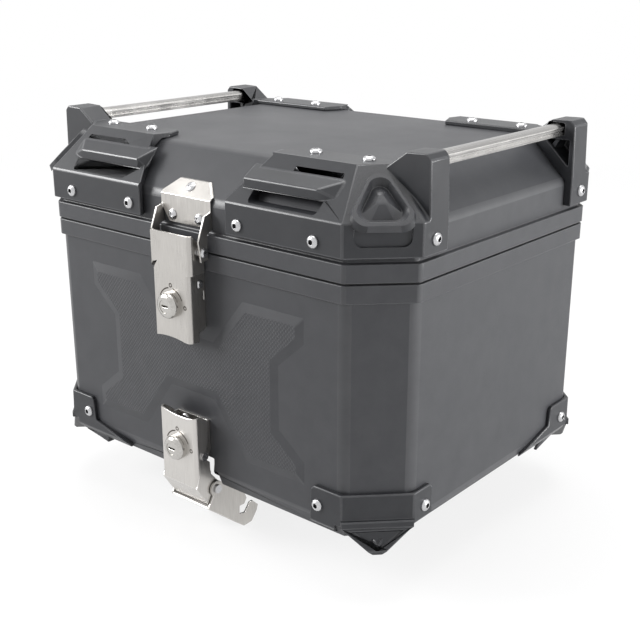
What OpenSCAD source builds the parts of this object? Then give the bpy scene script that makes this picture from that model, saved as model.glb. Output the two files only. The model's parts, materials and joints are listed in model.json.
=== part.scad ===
// Hard-shell motorcycle top case: tub, hinged lid, corner guards, rails, latch and release hook.
// X runs along the lock face, the lock face looks to -Y, Z is up, the docking plate lies on z = 0.

/* [Case] */
// Width across the lid band
case_w = 430; // [400:1:470]
// Depth across the lid band
case_d = 345; // [325:1:385]
// Leg of the 45 degree corner cut
corner_cut = 42; // [36:1:46]
// Height of the lid joint above the docking plate's underside
split_z = 220; // [212:1:260]
// Open gap between tub rim and lid band
split_gap = 1.6; // [1:0.1:3]

/* [Tub] */
// Height of the tub underside above the docking plate's underside
floor_z = 10; // [9:0.5:12]
// Thickness of the tub floor
tub_floor = 6; // [6:0.5:8]
// Thickness of the tub walls
tub_wall = 4; // [3:0.5:5]
// How far the tub wall stands inside the lid band
tub_inset = 3.5; // [2.5:0.5:5]
// Height of the lower edge of the skirts below the lock face and the hinge face
skirt_z = 2; // [1:0.5:3]
// How far the walls lean in at the lower edge of the skirts
skirt_in = 5; // [4:0.5:6]
// Height of the leaning part of the walls
skirt_h = 13; // [10:0.5:13]
// Height of the tub rim
rim_h = 15; // [11:0.5:18]
// How far the rim stands inside the lid band
rim_inset = 0.5; // [0.2:0.1:1]
// Relief of the X-shaped pad on the lock face
pad_t = 1.7; // [1:0.1:3]
// Width of the pad's bevelled border
pad_bevel = 8; // [4:0.5:9]
// Overall width of the pad
pad_w = 262; // [240:1:270]
// Overall height of the pad
pad_h = 146; // [130:1:150]
// Height of the pad's lowest edge
pad_z = 38; // [34:1:46]

/* [Lid] */
// Thickness of the lid shell
lid_wall = 4; // [3:0.5:5]
// Height of the lid band
band_h = 15; // [11:0.5:17]
// How far the lid wall stands inside the band
lid_inset = 5; // [4:0.5:7]
// Height of the lid kink above the lid joint
lid_kink = 42.5; // [40:0.5:50]
// Height of the lid top above the lid joint
lid_top = 80; // [76:0.5:90]
// Horizontal run of the sloped lid edge
lid_run = 38; // [34:0.5:42]
// Depth of the seal groove
seal_depth = 3; // [2:0.5:4]
// Width of the lid seal
seal_w = 4; // [3:0.5:5]
// Gap between the seal and the tub rim
seal_gap = 0.3; // [0.2:0.05:0.6]

/* [Guards] */
// Thickness of a corner guard on the lid walls
guard_t = 7.5; // [6:0.5:9]
// Thickness of a corner guard on the lid top
guard_top_t = 4.5; // [3.5:0.5:6]
// Fit gap between guard and lid
guard_gap = 0.1; // [0.05:0.05:0.2]
// Height of the guard's lower edge above the lid band
guard_lift = 4.5; // [3:0.5:6]
// Distance of the guard's inner end from the middle of the lock face
guard_in_x = 52; // [48:0.5:60]
// Distance of the top plate's inner end from the middle
plate_in_x = 72; // [68:0.5:76]
// Distance of the top plate's inner edge from the middle plane
plate_in_y = 104; // [100:0.5:106]
// Distance of the guard's side end from the middle plane
guard_in_y = 99; // [94:0.5:101]
// Middle of the grip along the lock face
grip_x = 110.5; // [109:0.5:112]
// Length of the grip's front edge
grip_w = 76; // [72:1:80]
// How far the grip stands out from the sloped guard
grip_out = 10; // [8:0.5:12]
// Width of the finger opening
grip_open_w = 72; // [64:1:74]
// Thickness of the grip's lip
grip_lip = 3; // [2.5:0.25:4]
// Width of the corner boss
boss_w = 51; // [44:1:52]
// Height of the corner boss
boss_t = 3.5; // [2.5:0.25:4.5]
// Height of the rail towers above the guard's top plate
tower_h = 12.5; // [12:0.5:16]
// Distance of the towers' outer end from the middle plane
tower_end_y = 124; // [121:0.5:127]
// Thickness of the tower walls
tower_wall = 5; // [4:0.5:6]

/* [Rails] */
// Width of a rail
rail_w = 15; // [12:0.5:16]
// Height of a rail
rail_h = 10.5; // [9:0.5:11]
// Distance of a rail's middle from the middle plane
rail_x = 198; // [197:0.5:199]
// Depth of a rail end in its tower
rail_seat = 18; // [12:0.5:20]
// Slip fit around a rail end
rail_fit = 0.15; // [0.1:0.05:0.3]

/* [Bumpers] */
// Thickness of a bumper on the tub wall
bump_t = 4; // [3:0.5:5]
// Height of a bumper
bump_h = 43.5; // [40:0.5:50]
// Distance of a bumper's front end from the middle
bump_in_x = 142; // [136:1:144]
// Distance of a bumper's side end from the middle plane
bump_in_y = 106; // [100:1:108]
// Length of the low runner past a bumper's end
runner_len = 50; // [35:1:54]
// Height of the runner where it leaves the bumper
runner_h = 16; // [14:0.5:20]
// Height of the runner's underside
runner_z = 4; // [2:0.5:6]
// How much higher the runners lie on the sides than on the lock face
side_up = 5; // [3:0.5:6]
// Height of the feet below the runners
foot_h = 7; // [5:0.5:9]
// Depth of a toe's tip below the docking plate
toe_drop = 9.5; // [7:0.5:11]
// How far a toe stands out from the corner face
toe_out = 5; // [3:0.5:8]
// Height of the underside of the ledge above a toe
ledge_z = 14; // [12:0.5:16]
// Height of the ledge itself
ledge_h = 6.5; // [5:0.5:8]

/* [Fasteners] */
// Thread diameter of the guard and bumper screws
screw_d = 6; // [5:0.5:6]
// Clearance of a screw hole on the diameter
screw_play = 0.4; // [0.2:0.1:0.6]
// Diameter of a screw head
head_d = 10.5; // [9.5:0.5:12]
// Height of a screw head
head_h = 3.2; // [2.5:0.1:4]
// Width across the flats of a nut
nut_af = 10; // [9:0.5:11]
// Height of a nut
nut_h = 5; // [4:0.5:6]
// Diameter of a rivet shank
rivet_d = 5; // [4:0.5:5]
// Diameter of a rivet head
rivet_head_d = 9.5; // [8:0.5:10.5]
// Height of a rivet head
rivet_head_h = 2; // [1.5:0.1:2.5]
// Radial running clearance of a pivot
run_fit = 0.05; // [0.02:0.01:0.1]

/* [Latch] */
// Thickness of the latch sheet metal
sheet = 1.8; // [1.4:0.1:2]
// Width of the upper part of the latch cover
cover_w = 50; // [48:0.5:50.5]
// Width of the lower part of the latch cover
cover_low_w = 45; // [43:0.5:45.5]
// Outer bend radius of the covers
cover_r = 4; // [3:0.25:5]
// How far the cover's face stands in front of the lid band
cover_out = 17.5; // [16.5:0.25:19]
// Height of the cover's upper edge above the lid joint
cover_up = 16; // [14:0.5:17]
// Height of the change of width below the lid joint
cover_step = 18; // [17:0.5:21]
// Depth of the cover's lower edge below the lid joint
cover_down = 78; // [74:0.5:82]
// Distance of the cover pivot in front of the lid band
pivot_out = 5.5; // [5:0.25:6]
// Height of the cover pivot above the lid joint
pivot_up = 1.4; // [0.5:0.1:2]
// Half distance between the hasp ears
ear_x = 30; // [29.5:0.25:31]
// Depth of the latch lock below the lid joint
lock_down = 46.5; // [45:0.5:50]
// Side clearance between cover, bracket and hook walls
side_play = 0.6; // [0.4:0.1:0.8]

/* [Locks] */
// Diameter of a lock's front ring
lock_ring_d = 23; // [20:0.5:25]
// How far a lock stands out from its cover
lock_out = 8; // [6:0.5:9]
// Diameter of a lock barrel
lock_body_d = 18; // [16:0.5:18]
// Diameter of the turning lock plug
plug_d = 12; // [10:0.5:13]
// Length of a lock cam from its axis
cam_len = 15; // [13.5:0.25:15.5]
// Thickness of a lock cam
cam_t = 2; // [1.5:0.25:2.25]

/* [Release] */
// Height of the release cover's upper edge
rel_top = 74; // [72:0.5:78]
// Height of the bend in the release cover
rel_bend = 5; // [3:0.5:7]
// Height of the release lock
rel_lock_z = 41; // [39.5:0.5:43]
// Distance of the release pivot in front of the lid band
rel_pivot_out = 7.5; // [7:0.25:8]
// Height of the release pivot
rel_pivot_z = 34; // [33:0.5:35]
// Height of the hook pivot
hook_z = -2; // [-3:0.25:-1]
// Distance of the hook pivot behind the lid band face
hook_in = 5; // [4:0.25:6]
// Reach of the hook from its pivot
hook_len = 66; // [62:0.5:68]
// Angle of the hook below the horizontal
hook_angle = 32; // [30:1:34]
// Height of the underside recess above the hook
recess_z = 36; // [35:0.5:42]

/* [Hinge] */
// Width of one hinge
hinge_w = 60; // [50:1:80]
// Distance of a hinge from the middle
hinge_x = 110; // [100:1:125]
// Outer diameter of a hinge barrel
barrel_d = 10; // [9:0.5:10.5]
// Diameter of a hinge pin
hinge_pin_d = 5; // [4:0.5:6]
// Thickness of a hinge leaf
leaf_t = 2; // [1.5:0.25:2.5]
// Side gap between hinge knuckles
knuckle_gap = 1; // [0.5:0.1:1.5]

/* [Docking plate] */
// Width of the docking plate
dock_w = 220; // [210:1:240]
// Depth of the docking plate
dock_d = 156; // [150:1:160]
// Bolt spacing across the plate
dock_bolt_x = 140; // [120:1:146]
// Bolt spacing along the plate
dock_bolt_y = 70; // [60:1:76]
// Bolt hole diameter
dock_bolt_d = 6.6; // [6.4:0.1:8.4]
// Screw spacing across the plate
dock_screw_x = 190; // [180:1:196]
// Screw spacing along the plate
dock_screw_y = 120; // [112:1:124]

/* [Hidden] */
$fn = 48;

plastic = [0.13, 0.13, 0.14];
guard_black = [0.10, 0.10, 0.11];
steel = [0.80, 0.79, 0.77];
alu = [0.74, 0.73, 0.72];
bright = [0.88, 0.88, 0.89];

// half sizes of the lid band and its distance to the corner faces
hx = case_w/2;
hy = case_d/2;
hq = (hx + hy - corner_cut)/sqrt(2);
band_front = -hy;
// heights
rim_top = split_z - split_gap/2;
rim_bot = rim_top - rim_h;
lid_bot = split_z + split_gap/2;
band_top = lid_bot + band_h;
kink_z = split_z + lid_kink;
top_z = split_z + lid_top;
lid_top_in = lid_inset + lid_run;
slope = lid_run/(lid_top - lid_kink);
tilt = atan2(1, slope);
// guard envelope
guard_in = lid_inset - guard_t;
guard_z0 = band_top + guard_lift;
guard_top = top_z + guard_top_t;
guard_kink = kink_z + guard_t*tan((90 - tilt)/2) + 1.7;
guard_top_in = guard_in + (guard_top - guard_kink)*slope;
guard_face = -(hy - guard_in);
guard_side = hx - guard_in;
tower_top = guard_top + tower_h;
rail_z = tower_top - 3.5 - rail_h/2;
tub_face = -(hy - tub_inset);
tub_side = hx - tub_inset;
inner_y = hy - tub_inset - tub_wall;
inner_x = hx - tub_inset - tub_wall;
floor_top = floor_z + tub_floor;
skirt_top = skirt_z + skirt_h;
hole_d = screw_d + screw_play;
rivet_hole = rivet_d + 0.1;
// lid hardware
lid_face = -(hy - lid_inset);
cover_y = -(hy + cover_out);
cover_z1 = split_z + cover_up;
cover_z0 = split_z - cover_down;
step_z = split_z - cover_step;
piv_y = -(hy + pivot_out);
piv_z = split_z + pivot_up;
lock_z = split_z - lock_down;
base_hw = cover_low_w/2 - sheet - side_play;
// release hardware
rel_y = -(hy + rel_pivot_out);
hook_y = -(hy - hook_in);
hook_hw = cover_low_w/2 + side_play + sheet;
cam_y = cover_y + 13.5;
keeper_y = cam_y - 0.5 - sheet;
keeper_h = 7;
// hinge axis
hinge_y = hy + barrel_d/2 + 0.4;
guard_front_x = [guard_in_x + 14, hx - 69];
guard_plate_x = [hx - 116, hx - 62];
guard_plate_y = 116;
guard_front_z = band_top + 14;
guard_side_y = 116;
bump_screw_x = 148.5;
bump_screw_y = 116;
bump_screw_z = 27.5;

function oct(d) = let (x = hx - d, y = hy - d, c = corner_cut - d*(2 - sqrt(2)))
  [[x, c - y], [x, y - c], [x - c, y], [c - x, y], [-x, y - c], [-x, c - y], [c - x, -y], [x - c, -y]];
function gable(h, d0, d1, z0, zk, z1) =
  [[d0 - h, z0], [h - d0, z0], [h - d0, zk], [h - d1, z1], [d1 - h, z1], [d0 - h, zk]];
function guard_slope_y(z) = guard_face + (z - guard_kink)*slope;
function unit(v) = v/norm(v);
// inward offset of a closed outline that runs counter-clockwise
function inset(p, d) = let (n = len(p)) [for (i = [0:n - 1])
  let (a = unit(p[i] - p[(i + n - 1) % n]), b = unit(p[(i + 1) % n] - p[i]),
       na = [-a[1], a[0]], nb = [-b[1], b[0]]) p[i] + d*(na + nb)/(1 + na*nb)];

module slab(d, z0, z1) translate([0, 0, z0]) linear_extrude(z1 - z0) polygon(oct(d));
// outline in y and z, drawn along x
module along_x(pts, x0, x1) translate([x0, 0, 0]) rotate([90, 0, 90]) linear_extrude(x1 - x0) polygon(pts);
// outline in x and z, drawn along y
module along_y(pts, y0, y1) translate([0, y1, 0]) rotate([90, 0, 0]) linear_extrude(y1 - y0) polygon(pts);
// eight-sided block with straight walls below zk and sloped walls above it
module gabled(d0, d1, z0, zk, z1) {
  far = 2*(hx + hy);
  intersection() {
    along_x(gable(hy, d0, d1, z0, zk, z1), -far/2, far/2);
    along_y(gable(hx, d0, d1, z0, zk, z1), -far/2, far/2);
    rotate([0, 0, 45]) along_x(gable(hq, d0, d1, z0, zk, z1), -far/2, far/2);
    rotate([0, 0, -45]) along_x(gable(hq, d0, d1, z0, zk, z1), -far/2, far/2);
  }
}
module both_x() { children(); mirror([1, 0, 0]) children(); }
module corner(sx, sy) mirror([sx < 0 ? 1 : 0, 0, 0]) mirror([0, sy > 0 ? 1 : 0, 0]) children();
module four() for (sx = [-1, 1], sy = [-1, 1]) corner(sx, sy) children();
// local +Z of a child looks out of the lock face, or out of the side
module on_front(x, y, z) translate([x, y, z]) rotate([90, 0, 0]) children();
module on_side(x, y, z) translate([x, y, z]) rotate([0, 90, 0]) children();

module button_screw(len) difference() {
  union() {
    rotate_extrude() polygon([[0, 0], [head_d/2, 0], [head_d/2, head_h*0.3], [head_d*0.4, head_h*0.75],
      [head_d*0.27, head_h], [0, head_h]]);
    translate([0, 0, -len]) cylinder(d = screw_d, h = len + 0.01);
  }
  translate([0, 0, head_h*0.35]) cylinder(d = screw_d*0.75, h = head_h, $fn = 6);
}
module hex_nut() difference() {
  cylinder(d = nut_af/cos(30), h = nut_h, $fn = 6);
  translate([0, 0, -1]) cylinder(d = screw_d + 0.1, h = nut_h + 2);
}
// rivet with a domed head outside and a flat upset end inside
module rivet(grip, tail_d) {
  rotate_extrude() polygon([[0, 0], [rivet_head_d/2, 0], [rivet_head_d/2, rivet_head_h*0.35],
    [rivet_head_d*0.3, rivet_head_h], [0, rivet_head_h]]);
  translate([0, 0, -grip - 1.5]) cylinder(d = rivet_d, h = grip + 1.51);
  translate([0, 0, -grip - 1.5]) cylinder(d = tail_d, h = 1.5);
}
module bolt_hole(len) translate([0, 0, -len]) cylinder(d = hole_d, h = len + 1);

// tub

module tub_pad() {
  w = pad_w/2;
  z1 = pad_z + pad_h;
  r = [[w, pad_z], [w, pad_z + 20], [w - 28, pad_z + 42], [w - 28, z1 - 47], [w, z1 - 22], [w, z1],
    [64, z1], [28, z1 - 44]];
  l = [for (i = [len(r) - 1:-1:0]) [-r[i][0], r[i][1]]];
  low = [[-64, pad_z], [-28, pad_z + 49], [28, pad_z + 49], [64, pad_z]];
  p = concat(r, l, low);
  n = len(p);
  q = inset(p, pad_bevel);
  y0 = tub_face + 1;
  y1 = tub_face - pad_t;
  b = inset(p, -pad_bevel/pad_t);
  // one half of the pad's face, cut into triangles
  half = [[0, 1, 2], [0, 2, 19], [19, 2, 18], [2, 3, 18], [3, 7, 18], [3, 6, 7], [3, 4, 6], [4, 5, 6]];
  other = [15, 14, 13, 12, 11, 10, 9, 8, 7, 6, 5, 4, 3, 2, 1, 0, 19, 18, 17, 16];
  back = concat(half, [for (t = half) [other[t[0]], other[t[2]], other[t[1]]]], [[7, 8, 17], [7, 17, 18]]);
  polyhedron([for (v = b) [v[0], y0, v[1]], for (v = q) [v[0], y1, v[1]]],
    concat(back, [for (t = back) [n + t[0], n + t[2], n + t[1]]],
      [for (i = [0:n - 1]) [i, n + i, n + (i + 1) % n]],
      [for (i = [0:n - 1]) [i, n + (i + 1) % n, (i + 1) % n]]));
}
module tub_outer() {
  slab(tub_inset, skirt_top, rim_bot + 0.5);
  mirror([0, 0, 1]) gabled(tub_inset, tub_inset + skirt_in, -skirt_top - 1, -skirt_top, -skirt_z);
  slab(rim_inset, rim_bot, rim_top);
}
module tub_recess() {
  translate([-hook_hw - 3, tub_face + tub_wall, skirt_z - 1])
    cube([2*hook_hw + 6, -dock_d/2 - 5 - tub_face - tub_wall, recess_z - skirt_z + 1]);
  translate([-cover_low_w/2 - side_play, tub_face - 1, skirt_z - 1])
    cube([cover_low_w + 2*side_play, tub_wall + 2, rel_pivot_z - skirt_z - 5]);
  translate([-hook_hw - 3, tub_face - 1, skirt_z - 1])
    cube([2*hook_hw + 6, tub_wall + 2, floor_z + 5.5 - skirt_z]);
}
module tub_hump() translate([-hook_hw - 3 - tub_wall, tub_face, floor_z])
  cube([2*(hook_hw + 3 + tub_wall), -dock_d/2 - 5 + tub_wall - tub_face, recess_z + tub_wall - floor_z]);
module dock_bolts(z0, h) for (x = [-1, 1], y = [-1, 1])
  translate([x*dock_bolt_x/2, y*dock_bolt_y/2, z0]) cylinder(d = dock_bolt_d, h = h);
module at_dock_screws() for (x = [-1, 1], y = [-1, 1])
  translate([x*dock_screw_x/2, y*dock_screw_y/2, floor_top]) children();
module at_bumper_screws() four() {
  on_front(bump_screw_x, tub_face - bump_t, bump_screw_z) children();
  on_side(tub_side + bump_t, -bump_screw_y, bump_screw_z) children();
}
module at_latch_rivets() for (z = [step_z - 6, cover_z0 + 14])
  on_front(0, tub_face - sheet, z) children();
module at_release_rivets() both_x() on_front(10, tub_face - sheet, rel_lock_z + 17.5) children();
module at_tub_hinge_rivets() for (s = [-1, 1], k = [-1, 1])
  translate([s*hinge_x + k*hinge_w*0.3, hy - rim_inset + leaf_t, rim_bot + 4.6]) rotate([-90, 0,
    0]) children();
module at_lid_hinge_rivets() for (s = [-1, 1], k = [-1, 1])
  translate([s*hinge_x + k*hinge_w*0.3, hy + leaf_t, band_top - 4.6]) rotate([-90, 0, 0]) children();

module tub_shell() color(plastic) difference() {
  union() { tub_outer(); tub_pad(); }
  difference() {
    slab(tub_inset + tub_wall, floor_top, rim_top + 1);
    tub_hump();
  }
  slab(tub_inset + skirt_in + tub_wall, skirt_z - 1, floor_z);
  both_x() translate([hx - corner_cut, -hy, skirt_z - 1]) cube([corner_cut, 2*hy, floor_z - skirt_z + 1]);
  tub_recess();
  dock_bolts(floor_z - 1, tub_floor + 2);
  at_dock_screws() bolt_hole(tub_floor + 1);
  at_bumper_screws() bolt_hole(bump_t + tub_wall + 1);
  at_latch_rivets() translate([0, 0, -20]) cylinder(d = rivet_hole, h = 21);
  at_release_rivets() translate([0, 0, -20]) cylinder(d = rivet_hole, h = 21);
  at_tub_hinge_rivets() translate([0, 0, -20]) cylinder(d = rivet_hole, h = 21);
}
module docking_plate() color([0.16, 0.16, 0.17]) difference() {
  linear_extrude(floor_z) polygon([for (s = [[1, -1], [1, 1], [-1, 1], [-1, -1]], k = [0, 1])
    let (c = 14, f = (s[0]*s[1] < 0) ? k : 1 - k)
    [s[0]*(dock_w/2 - (f == 0 ? c : 0)), s[1]*(dock_d/2 - (f == 0 ? 0 : c))]]);
  dock_bolts(-1, floor_z + 2);
  at_dock_screws() bolt_hole(floor_top + 1);
  at_dock_screws() translate([0, 0, -floor_top - 1])
    cylinder(d = (nut_af + 0.4)/cos(30), h = nut_h + 2, $fn = 6);
  both_x() translate([26, dock_d/2 - 26, -1]) cube([40, 12, floor_z + 2]);
}
module docking_screws() color(bright) at_dock_screws() button_screw(floor_top - 1);
module docking_nuts() color(bright) at_dock_screws() translate([0, 0, 1 - floor_top]) hex_nut();

// frame on the corner face: local X along it, local -Y out of it
module corner_frame(q) translate([q/sqrt(2) + (hx - hy)/2, (hx - hy)/2 - q/sqrt(2), 0])
  rotate([0, 0, 45]) children();
// wedge below the ledge, cut from its outline seen from the front and from the side
module toe(half_w, half_tip, z0, z1, sink) intersection() {
  along_y([[-half_w, z1], [-half_tip, z0], [half_tip, z0], [half_w, z1]], -toe_out - 3, 10);
  along_x([[8, z1 + 1], [sink, z1 + 1], [sink, z1], [sink - toe_out, 4 - toe_drop],
    [sink - toe_out + 2, -toe_drop - 1], [8, -toe_drop - 1]], -half_w - 1, half_w + 1);
}
// outline of a panel from its inner end to the corner, with or without a runner
function panel(in_end, out_end, z, long) = concat(long ?
  [[in_end - runner_len, z], [in_end - runner_len, z + 4], [in_end - 2, z + runner_h]] :
  [[in_end - 2, z + 1.5]], [[in_end - 0.6, bump_h - 3], [in_end + 2.6, bump_h],
    [out_end + 9, bump_h], [out_end + 9, long ? z : z + 1.5]]);
// outline of the foot under the inner end of a panel
function foot(in_end, edge, z) = [[in_end - 14, z + 4], [in_end - 14, z - foot_h], [edge + 2, z + 4]];
// corner bumper at the front right, with or without runners
module bumper(long) {
  x_end = tub_side + bump_t;
  y_end = tub_face - bump_t;
  d = tub_inset - bump_t;
  side_z = runner_z + side_up;
  side_in = bump_in_y - (long ? 10 : 0);
  cut_in = long ? 5 : 10;
  cut_h = long ? 7 : 8;
  depth = 24;
  difference() {
    union() {
      // panels with their runners, open below the ledge
      difference() {
        intersection() {
          slab(d, 0, bump_h + 5);
          union() {
            along_y(panel(bump_in_x, x_end, runner_z, long), y_end - 1, y_end + depth);
            mirror([0, 1, 0]) along_x(panel(side_in, -y_end, side_z, long), x_end - depth, x_end + 1);
          }
        }
        corner_frame(hq - d) translate([-34.3, -3, -1]) cube([68.6, 14.7, ledge_z + 2.3]);
      }
      // feet beside the runners
      if (long) intersection() {
        slab(tub_inset + 1, runner_z - foot_h - 1, side_z + 5);
        union() {
          along_y(foot(bump_in_x, hx - corner_cut, runner_z), y_end, y_end + depth + 3);
          mirror([0, 1, 0]) along_x(foot(side_in, hy - corner_cut, side_z), x_end - depth - 3, x_end);
        }
      }
      corner_frame(hq - d) {
        // toe with a sunk face and a V-shaped rib
        difference() {
          toe(31, 4, -toe_drop, ledge_z + 0.5, 0);
          difference() {
            toe(21, 1, 4.5 - toe_drop, ledge_z - 3.5, -1);
            translate([0, 0, 7.5 - toe_drop]) both_x() rotate([0, 32, 0]) translate([-0.9, -toe_out - 2, 0])
              cube([1.8, toe_out + 6, 7]);
            toe(40, 12, -toe_drop - 1, ledge_z + 0.5, 1.2);
          }
        }
        // ledge above the toe
        translate([-30, -2.2, ledge_z]) cube([60, 6, ledge_h]);
      }
    }
    // bevel along the panels' lower edges
    along_x([[y_end - 1, runner_z + cut_h], [y_end - 1, runner_z - 1], [y_end + cut_in, runner_z - 1]],
      0, hx - corner_cut + 1);
    along_y([[x_end + 1, side_z + cut_h], [x_end - cut_in, side_z - 1], [x_end + 1, side_z - 1]],
      corner_cut - 1 - hy, 0);
    // seat of the tub
    slab(tub_inset - guard_gap, skirt_top, bump_h + 1);
    mirror([0, 0, 1]) gabled(tub_inset - guard_gap, tub_inset - guard_gap + skirt_in, -skirt_top - 1,
      -skirt_top, -skirt_z);
    on_front(bump_screw_x, y_end, bump_screw_z) bolt_hole(bump_t + 3);
    on_side(x_end, -bump_screw_y, bump_screw_z) bolt_hole(bump_t + 3);
  }
}
module bumper_front_left() color(guard_black) corner(-1, -1) bumper(true);
module bumper_front_right() color(guard_black) corner(1, -1) bumper(false);
module bumper_rear_left() color(guard_black) corner(-1, 1) bumper(false);
module bumper_rear_right() color(guard_black) corner(1, 1) bumper(true);
module bumper_screws() color(bright) at_bumper_screws() button_screw(bump_t + tub_wall + nut_h + 1);
module bumper_nuts() color(bright) at_bumper_screws() translate([0, 0,
  -bump_t - tub_wall - nut_h]) hex_nut();

// hinge

module knuckle(x0, x1, bore) difference() {
  translate([x0, hinge_y, split_z]) rotate([0, 90, 0]) cylinder(d = barrel_d, h = x1 - x0);
  translate([x0 - 1, hinge_y, split_z]) rotate([0, 90, 0]) cylinder(d = bore, h = x1 - x0 + 2);
}
module leaf_tub(x) {
  a = hinge_w/2;
  k = hinge_w/4 - knuckle_gap/2;
  y0 = hy - rim_inset;
  difference() {
    union() {
      translate([x - a, y0, rim_bot + 1]) cube([hinge_w, leaf_t, split_z - barrel_d/2 - 0.6 - rim_bot - 1]);
      for (s = [0, 1]) translate([x - a + s*(hinge_w - k), y0, rim_bot + 2])
        cube([k, leaf_t, split_z - rim_bot - 3.5]);
      for (s = [0, 1]) knuckle(x - a + s*(hinge_w - k), x - a + k + s*(hinge_w - k), 1);
    }
    translate([x - hinge_w, hinge_y, split_z]) rotate([0, 90, 0]) cylinder(d = hinge_pin_d + 0.04,
      h = 2*hinge_w);
    at_tub_hinge_rivets() translate([0, 0, -5]) cylinder(d = rivet_hole, h = 6);
  }
}
module leaf_lid(x) {
  a = hinge_w/2;
  k = hinge_w/4 + knuckle_gap/2;
  difference() {
    union() {
      translate([x - a, hy, split_z + barrel_d/2 + 0.6]) cube([hinge_w, leaf_t,
        band_top - 1 - split_z - barrel_d/2 - 0.6]);
      translate([x - a + k, hy, split_z + 1.5]) cube([hinge_w - 2*k, leaf_t, band_top - split_z - 3]);
      knuckle(x - a + k, x + a - k, 1);
    }
    translate([x - hinge_w, hinge_y, split_z]) rotate([0, 90, 0]) cylinder(d = hinge_pin_d + 2*run_fit,
      h = 2*hinge_w);
    at_lid_hinge_rivets() translate([0, 0, -5]) cylinder(d = rivet_hole, h = 6);
  }
}
module hinge_tub_leaves() color(steel) { leaf_tub(-hinge_x); leaf_tub(hinge_x); }
module hinge_lid_leaves() color(steel) { leaf_lid(-hinge_x); leaf_lid(hinge_x); }
module hinge_pins() color(steel) for (s = [-1, 1]) translate([s*hinge_x - hinge_w/2 - 0.6, hinge_y,
  split_z])
  rotate([0, 90, 0]) cylinder(d = hinge_pin_d, h = hinge_w + 1.2);
module hinge_tub_rivets() color(bright) at_tub_hinge_rivets()
  rivet(leaf_t + tub_inset - rim_inset + tub_wall, rivet_d + 3);
module hinge_lid_rivets() color(bright) at_lid_hinge_rivets() rivet(leaf_t + lid_inset + lid_wall,
  rivet_d + 3);

// lid

module lid_outer() {
  slab(0, lid_bot, band_top);
  gabled(lid_inset, lid_top_in, lid_bot, kink_z, top_z);
}
module lid_inner() {
  drop = lid_wall*tan((90 - tilt)/2);
  gabled(lid_inset + lid_wall, lid_inset + lid_wall + (lid_top - lid_kink - lid_wall + drop)*slope,
    lid_bot - 1, kink_z - drop, top_z - lid_wall);
}
module seal_ring(d, w, z0, z1) difference() {
  slab(d, z0, z1);
  slab(d + w, z0 - 1, z1 + 1);
}
module at_guard_front() four() for (x = guard_front_x) on_front(x, guard_face, guard_front_z) children();
module at_guard_side() four() on_side(guard_side, -guard_side_y, guard_front_z + 2.5) children();
module at_guard_top() four() for (x = guard_plate_x) translate([x, -guard_plate_y, guard_top]) children();
module at_hasp_rivets() {
  both_x() on_front(16, lid_face - sheet, split_z + 26) children();
  translate([0, lid_face + 6.6*slope, kink_z + 6.6]) rotate([tilt, 0, 0]) translate([0, 0,
    sheet]) children();
}
module lid_shell() color(plastic) difference() {
  lid_outer();
  lid_inner();
  seal_ring(2.5, seal_w + 0.2, lid_bot - 1, lid_bot + seal_depth);
  at_guard_front() bolt_hole(guard_t + lid_wall + 1);
  at_guard_side() bolt_hole(guard_t + lid_wall + 1);
  at_guard_top() bolt_hole(guard_top_t + lid_wall + 1);
  at_hasp_rivets() translate([0, 0, -12]) cylinder(d = rivet_hole, h = 13);
  at_lid_hinge_rivets() translate([0, 0, -20]) cylinder(d = rivet_hole, h = 21);
}
module lid_seal() color([0.06, 0.06, 0.06])
  seal_ring(2.6, seal_w, rim_top + seal_gap, lid_bot + seal_depth);

// corner guard at the front right
module boss_outline(w) offset(r = w*0.24) polygon([[-w*0.26, -w*0.27], [w*0.26, -w*0.27], [0, w*0.26]]);
module guard_boss_frame(h) {
  q = hq - guard_in - (h - guard_kink)*slope;
  s = (hx - hy)/2;
  translate([q/sqrt(2) + s, s - q/sqrt(2), h]) rotate([0, 0, 45]) rotate([tilt, 0, 0]) children();
}
module rail_section() translate([0, 0]) difference() {
  intersection() {
    square([rail_w, rail_h], center = true);
    translate([0, -rail_h*0.62]) circle(r = rail_w*0.76, $fn = 96);
  }
  both_x() translate([rail_w/2 - 1, -rail_h*0.24]) square([2, 1.4]);
}
module rail_bar(grow, y0, y1) translate([rail_x, y1, rail_z]) rotate([90, 0, 0]) linear_extrude(y1 - y0)
  if (grow > 0) square([rail_w + 2*grow, rail_h + 2*grow], center = true); else rail_section();

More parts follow.
